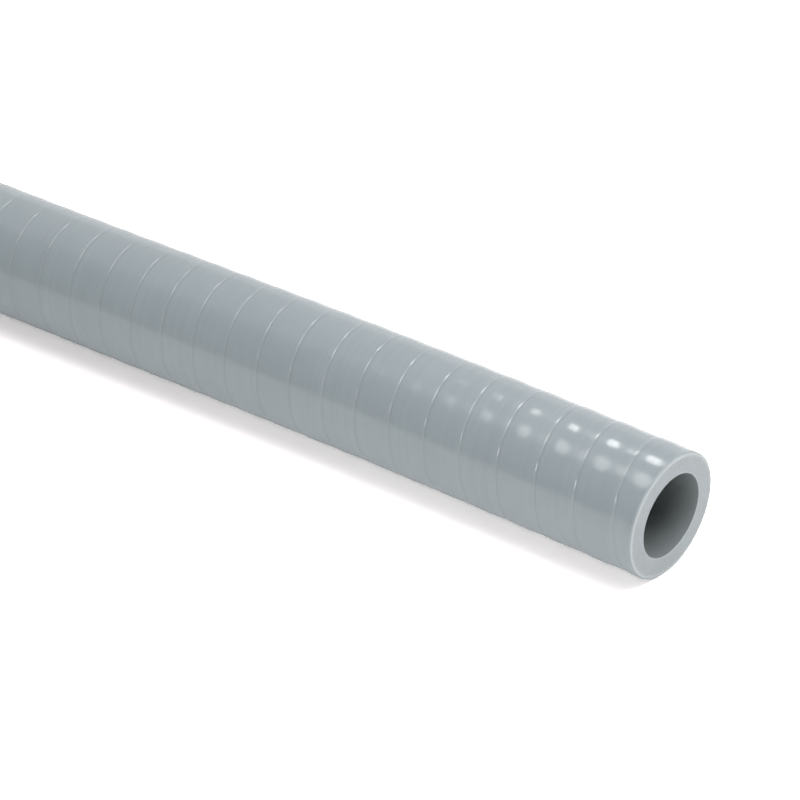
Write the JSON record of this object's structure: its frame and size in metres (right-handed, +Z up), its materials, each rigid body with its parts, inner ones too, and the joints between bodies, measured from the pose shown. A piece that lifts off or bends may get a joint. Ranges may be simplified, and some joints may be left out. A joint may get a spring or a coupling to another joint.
{
  "type": "pvc spiral conduit",
  "caption": "Straight length of grey flexible PVC conduit with a smooth bore and a fine spiral seam, for carrying and protecting electrical cables.",
  "frame": {"origin": "on the floor, under the middle of the conduit's length", "axes": "+X along the conduit's axis, +Z up, +Y across it; the conduit lies on the floor at Z = 0"},
  "size_m": [1, 0.016, 0.016],
  "materials": {
    "grey_pvc": "satin silver grey"
  },
  "bodies": {
    "root": {"conduit": "grey_pvc"}
  },
  "joints": []
}
